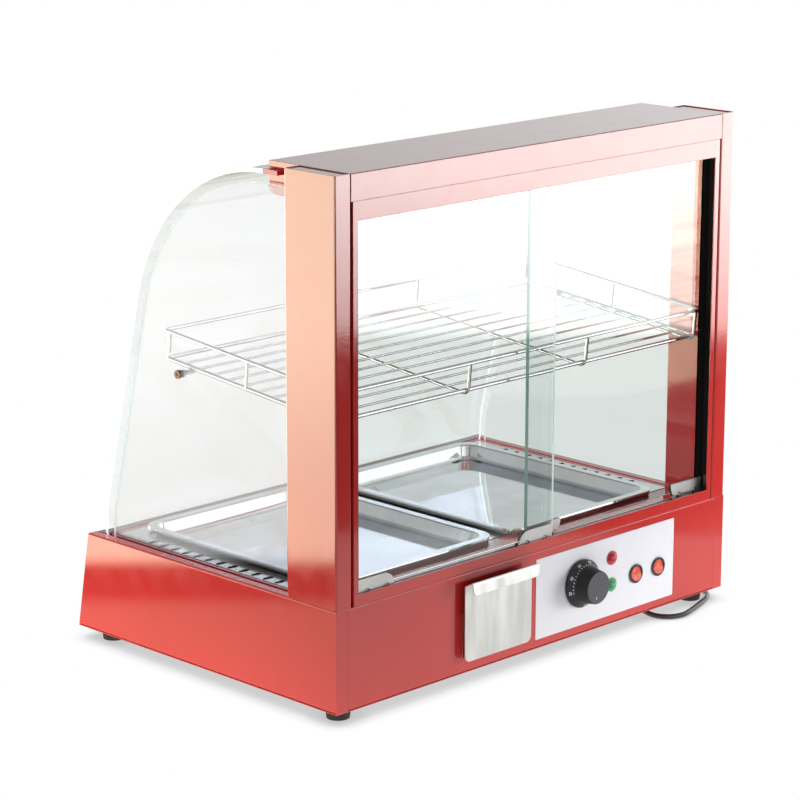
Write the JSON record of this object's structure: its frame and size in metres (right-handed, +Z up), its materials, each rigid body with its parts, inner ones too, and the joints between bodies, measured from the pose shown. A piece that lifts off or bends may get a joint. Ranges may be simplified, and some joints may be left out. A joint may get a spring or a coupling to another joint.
{
  "type": "heated display case",
  "caption": "Counter-top heated display case: red sheet-steel base and posts, bent front glass, sliding glass doors on rollers, wire shelf, lift-out trays and water drawer.",
  "frame": {"origin": "middle of the case's footprint on the table, with the knob and the sloped base front as its ends", "axes": "+X along the case, to the operator's right; +Y from the operator's doors to the customer's bent glass; +Z up"},
  "size_m": [0.792, 0.47, 0.607],
  "materials": {
    "red_paint": "gloss powder paint",
    "label_white": "satin",
    "rubber": "matt",
    "stainless": "bright",
    "galvanised": "dull",
    "heater_sheath": "matt",
    "shoe_steel": "satin",
    "rivet_steel": "satin",
    "chrome_wire": "bright",
    "brass": "bright",
    "glass": "clear",
    "track_aluminium": "drawn",
    "black_plastic": "satin",
    "cord_black": "satin",
    "rocker_red": "gloss",
    "lens_red": "gloss",
    "lens_green": "gloss",
    "ivory_plastic": "matt",
    "lamp_glass": "opal",
    "roller_nylon": "satin"
  },
  "bodies": {
    "case": {"bottom_plate": "red_paint", "left_side_panel": "red_paint", "right_side_panel": "red_paint", "front_panel": "red_paint", "control_panel": "red_paint", "left_post": "red_paint", "right_post": "red_paint", "header_body": "red_paint", "header_top": "red_paint", "door_frame": "red_paint", "top_frame": "red_paint", "label_plate": "label_white", "feet": "rubber", "deck_plate": "stainless", "drawer_guide": "galvanised", "heater_brackets": "galvanised", "thermostat_body": "galvanised", "heating_element": "heater_sheath", "shelf_pins": "chrome_wire", "shelf_screws": "brass", "plug_pins": "brass", "left_glass": "glass", "right_glass": "glass", "front_glass": "glass", "lower_track": "track_aluminium", "upper_track": "track_aluminium", "switch_bodies": "black_plastic", "cord_gland": "black_plastic", "plug": "black_plastic", "cord_tie": "black_plastic", "cord": "cord_black", "cord_coil": "cord_black", "red_lamp": "lens_red", "green_lamp": "lens_green", "terminal_block": "ivory_plastic", "light_holders": "ivory_plastic", "light_tube": "lamp_glass"},
    "left_door": {"left_door_glass": "glass", "left_door_shoes": "shoe_steel", "left_door_axles": "rivet_steel"},
    "right_door": {"right_door_glass": "glass", "right_door_shoes": "shoe_steel", "right_door_axles": "rivet_steel"},
    "water_drawer": {"drawer_front": "stainless", "drawer_box": "stainless"},
    "thermostat_knob": {"knob": "black_plastic", "thermostat_shaft": "rivet_steel"},
    "light_switch": {"light_rocker": "rocker_red"},
    "heat_switch": {"heat_rocker": "rocker_red"},
    "left_tray": {"tray_left": "stainless"},
    "right_tray": {"tray_right": "stainless"},
    "wire_shelf": {"shelf": "chrome_wire"},
    "left_roller_1": {"left_wheel_1": "roller_nylon"},
    "left_roller_2": {"left_wheel_2": "roller_nylon"},
    "left_roller_3": {"left_wheel_3": "roller_nylon"},
    "left_roller_4": {"left_wheel_4": "roller_nylon"},
    "right_roller_1": {"right_wheel_1": "roller_nylon"},
    "right_roller_2": {"right_wheel_2": "roller_nylon"},
    "right_roller_3": {"right_wheel_3": "roller_nylon"},
    "right_roller_4": {"right_wheel_4": "roller_nylon"}
  },
  "joints": [
    {"name": "left_door_slide", "type": "slide", "parent": "case", "child": "left_door", "axis": [1, 0, 0], "range_m": [-0.005, 0.2805]},
    {"name": "right_door_slide", "type": "slide", "parent": "case", "child": "right_door", "axis": [1, 0, 0], "range_m": [-0.2855, 0]},
    {"name": "left_roller_1_turn", "type": "hinge", "parent": "left_door", "child": "left_roller_1", "pos_m": [-0.2814, -0.2005, 0.143], "axis": [0, 1, 0], "continuous": true},
    {"name": "left_roller_2_turn", "type": "hinge", "parent": "left_door", "child": "left_roller_2", "pos_m": [-0.2514, -0.2005, 0.143], "axis": [0, 1, 0], "continuous": true},
    {"name": "left_roller_3_turn", "type": "hinge", "parent": "left_door", "child": "left_roller_3", "pos_m": [-0.0245, -0.2005, 0.143], "axis": [0, 1, 0], "continuous": true},
    {"name": "left_roller_4_turn", "type": "hinge", "parent": "left_door", "child": "left_roller_4", "pos_m": [0.0055, -0.2005, 0.143], "axis": [0, 1, 0], "continuous": true},
    {"name": "right_roller_1_turn", "type": "hinge", "parent": "right_door", "child": "right_roller_1", "pos_m": [-0.0005, -0.1915, 0.143], "axis": [0, 1, 0], "continuous": true},
    {"name": "right_roller_2_turn", "type": "hinge", "parent": "right_door", "child": "right_roller_2", "pos_m": [0.0295, -0.1915, 0.143], "axis": [0, 1, 0], "continuous": true},
    {"name": "right_roller_3_turn", "type": "hinge", "parent": "right_door", "child": "right_roller_3", "pos_m": [0.2564, -0.1915, 0.143], "axis": [0, 1, 0], "continuous": true},
    {"name": "right_roller_4_turn", "type": "hinge", "parent": "right_door", "child": "right_roller_4", "pos_m": [0.2864, -0.1915, 0.143], "axis": [0, 1, 0], "continuous": true},
    {"name": "water_drawer_slide", "type": "slide", "parent": "case", "child": "water_drawer", "axis": [0, -1, 0], "range_m": [-0.0073, 0.15]},
    {"name": "knob_turn", "type": "hinge", "parent": "case", "child": "thermostat_knob", "pos_m": [0.067, -0.207, 0.078], "axis": [0, 1, 0], "range_deg": [0, 300]},
    {"name": "light_switch_tip", "type": "hinge", "parent": "case", "child": "light_switch", "pos_m": [0.165, -0.2078, 0.068], "axis": [1, 0, 0], "range_deg": [0, 19]},
    {"name": "heat_switch_tip", "type": "hinge", "parent": "case", "child": "heat_switch", "pos_m": [0.206, -0.2078, 0.068], "axis": [1, 0, 0], "range_deg": [0, 19]},
    {"name": "left_tray_lift", "type": "slide", "parent": "case", "child": "left_tray", "axis": [0, 0, 1], "range_m": [0, 0.06]},
    {"name": "right_tray_lift", "type": "slide", "parent": "case", "child": "right_tray", "axis": [0, 0, 1], "range_m": [0, 0.06]},
    {"name": "shelf_lift", "type": "slide", "parent": "case", "child": "wire_shelf", "axis": [0, 0, 1], "range_m": [0, 0.018]}
  ],
  "couplings": [
    {"joint": "left_roller_1_turn", "follows": "left_door_slide", "rad_per_m": 200},
    {"joint": "left_roller_2_turn", "follows": "left_door_slide", "rad_per_m": 200},
    {"joint": "left_roller_3_turn", "follows": "left_door_slide", "rad_per_m": 200},
    {"joint": "left_roller_4_turn", "follows": "left_door_slide", "rad_per_m": 200},
    {"joint": "right_roller_1_turn", "follows": "right_door_slide", "rad_per_m": 200},
    {"joint": "right_roller_2_turn", "follows": "right_door_slide", "rad_per_m": 200},
    {"joint": "right_roller_3_turn", "follows": "right_door_slide", "rad_per_m": 200},
    {"joint": "right_roller_4_turn", "follows": "right_door_slide", "rad_per_m": 200}
  ]
}
